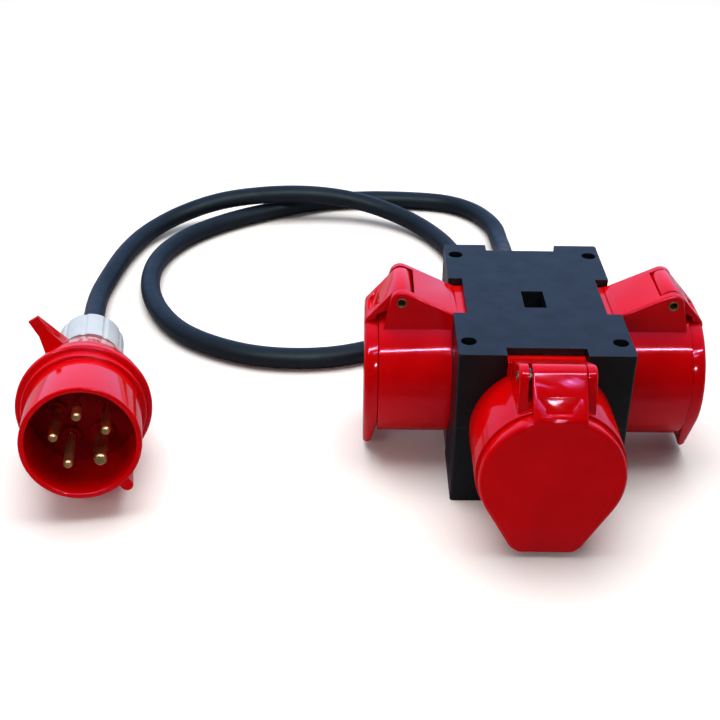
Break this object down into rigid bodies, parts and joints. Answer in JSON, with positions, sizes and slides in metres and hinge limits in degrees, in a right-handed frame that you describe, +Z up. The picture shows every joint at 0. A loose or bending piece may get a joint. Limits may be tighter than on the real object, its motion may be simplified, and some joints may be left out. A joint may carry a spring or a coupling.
{
  "type": "portable power distributor",
  "caption": "Black box-shaped power distributor with lidded round outlets on its sides and front, and a rubber lead from its rear to a shrouded pin plug.",
  "frame": {"origin": "middle of the body's flat underside", "axes": "+Z up, +X towards the right outlet, -Y towards the front outlet, lead leaves towards +Y"},
  "size_m": [0.3737, 0.4516, 0.1016],
  "materials": {
    "black_shell": "fine moulded grain, satin",
    "black_gland": "satin moulded polyamide",
    "steel_screws": "zinc plated",
    "red_housing": "glossy moulded polyamide",
    "red_insert": "glossy moulded polyamide",
    "brass": "turned brass",
    "spring_steel": "bright drawn",
    "seal_rubber": "matt",
    "red_lid": "glossy moulded polyamide",
    "core_brown": "soft insulation",
    "core_black": "soft insulation",
    "core_grey": "soft insulation",
    "core_blue": "soft insulation",
    "core_green_yellow": "soft insulation",
    "lead_rubber": "matt rubber sheath",
    "red_plug": "glossy moulded polyamide",
    "plug_insert_red": "moulded polyamide",
    "pale_nut": "satin moulded polyamide"
  },
  "bodies": {
    "root": {"upper_shell": "black_shell", "lower_shell": "black_shell", "shell_screws": "steel_screws", "entry_plate": "black_gland", "gland_body": "black_gland", "gland_locknut": "black_gland", "gland_seal": "seal_rubber", "gland_nut": "black_gland", "outlet_housing_left": "red_housing", "outlet_housing_right": "red_housing", "outlet_housing_front": "red_housing", "outlet_barrel_left": "red_housing", "outlet_barrel_right": "red_housing", "outlet_barrel_front": "red_housing", "outlet_insert_left": "red_insert", "outlet_insert_right": "red_insert", "outlet_insert_front": "red_insert", "terminal_block_left": "red_insert", "terminal_block_right": "red_insert", "terminal_block_front": "red_insert", "contacts_left": "brass", "contacts_right": "brass", "contacts_front": "brass", "terminal_screws_left": "steel_screws", "terminal_screws_right": "steel_screws", "terminal_screws_front": "steel_screws", "insert_screws_left": "steel_screws", "insert_screws_right": "steel_screws", "insert_screws_front": "steel_screws", "hinge_pin_left": "spring_steel", "hinge_pin_right": "spring_steel", "hinge_pin_front": "spring_steel", "lid_spring_left": "spring_steel", "lid_spring_right": "spring_steel", "lid_spring_front": "spring_steel", "core_l1": "core_brown", "core_l2": "core_black", "core_l3": "core_grey", "core_neutral": "core_blue", "core_earth": "core_green_yellow", "lead": "lead_rubber", "lead_end_in_body": "lead_rubber", "lead_end_in_plug": "lead_rubber", "plug_shroud": "red_plug", "plug_back_shell": "red_plug", "plug_insert": "plug_insert_red", "plug_phase_pins": "brass", "plug_earth_pin": "brass", "plug_terminal_screws": "steel_screws", "plug_clamp_ring": "pale_nut", "plug_gland_seal": "seal_rubber", "plug_gland_nut": "pale_nut"},
    "lid_left": {"lid_left": "red_lid", "lid_seal_left": "seal_rubber"},
    "lid_right": {"lid_right": "red_lid", "lid_seal_right": "seal_rubber"},
    "lid_front": {"lid_front": "red_lid", "lid_seal_front": "seal_rubber"}
  },
  "joints": [
    {"name": "lid_hinge_left", "type": "hinge", "parent": "root", "child": "lid_left", "pos_m": [-0.0724, 0, 0.0954], "axis": [0, 1, 0], "range_deg": [0, 120], "stiffness_Nm_per_rad": 0.04, "springref_deg": -68.75, "deforming": ["lid_spring_left"]},
    {"name": "lid_hinge_right", "type": "hinge", "parent": "root", "child": "lid_right", "pos_m": [0.0724, 0, 0.0954], "axis": [0, -1, 0], "range_deg": [0, 120], "stiffness_Nm_per_rad": 0.04, "springref_deg": -68.75, "deforming": ["lid_spring_right"]},
    {"name": "lid_hinge_front", "type": "hinge", "parent": "root", "child": "lid_front", "pos_m": [0, -0.0924, 0.0954], "axis": [-1, 0, 0], "range_deg": [0, 120], "stiffness_Nm_per_rad": 0.04, "springref_deg": -68.75, "deforming": ["lid_spring_front"]}
  ]
}
